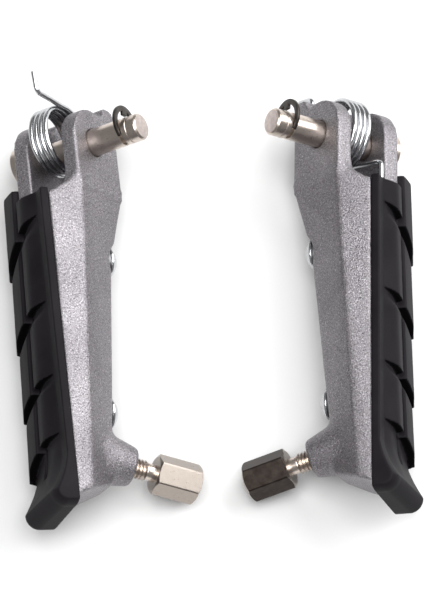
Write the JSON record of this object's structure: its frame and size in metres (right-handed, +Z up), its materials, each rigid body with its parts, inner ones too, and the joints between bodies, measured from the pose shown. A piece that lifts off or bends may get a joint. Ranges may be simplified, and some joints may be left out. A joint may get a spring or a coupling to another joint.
{
  "type": "motorcycle footpegs",
  "caption": "Pair of folding motorcycle footpegs, mirrored left and right, with rubber treads, pivot pins, return springs and bank feelers.",
  "frame": {"origin": "on the surface that the pair lies on, under the middle of the footprint", "axes": "+Z up from the surface; +X from the left peg to the right peg; -Y from the pivots towards the tips; the right peg mirrors the left one about X = 0, except the turn of its loose spring"},
  "size_m": [0.119, 0.1319, 0.0352],
  "materials": {
    "cast_aluminium": "shot-blasted casting",
    "black_rubber": "satin",
    "plate_steel": "plain",
    "zinc_steel": "bright zinc plated",
    "dark_steel": "oxidised",
    "nickel_steel": "nickel plated",
    "black_steel": "blackened spring steel"
  },
  "bodies": {
    "pivot_pins": {"left_pivot_pin": "nickel_steel", "left_retaining_clip": "black_steel", "right_pivot_pin": "nickel_steel", "right_retaining_clip": "black_steel"},
    "left_peg": {"left_casting": "cast_aluminium", "left_tread_rubber": "black_rubber", "left_tread_plate": "plate_steel", "left_inner_screw": "zinc_steel", "left_outer_screw": "zinc_steel", "left_inner_washer": "dark_steel", "left_outer_washer": "dark_steel", "left_feeler": "nickel_steel", "left_return_spring": "zinc_steel"},
    "right_peg": {"right_casting": "cast_aluminium", "right_tread_rubber": "black_rubber", "right_tread_plate": "plate_steel", "right_inner_screw": "zinc_steel", "right_outer_screw": "zinc_steel", "right_inner_washer": "dark_steel", "right_outer_washer": "dark_steel", "right_feeler": "nickel_steel", "right_return_spring": "zinc_steel"}
  },
  "joints": [
    {"name": "left_fold", "type": "hinge", "parent": "pivot_pins", "child": "left_peg", "pos_m": [-0.0425, 0.046, 0.017], "axis": [-0.8423, -0.0589, -0.5358], "range_deg": [0, 80], "stiffness_Nm_per_rad": 0.08, "springref_deg": -20.05},
    {"name": "right_fold", "type": "hinge", "parent": "pivot_pins", "child": "right_peg", "pos_m": [0.0425, 0.046, 0.017], "axis": [-0.8423, 0.0589, 0.5358], "range_deg": [0, 80], "stiffness_Nm_per_rad": 0.08, "springref_deg": -20.05}
  ]
}
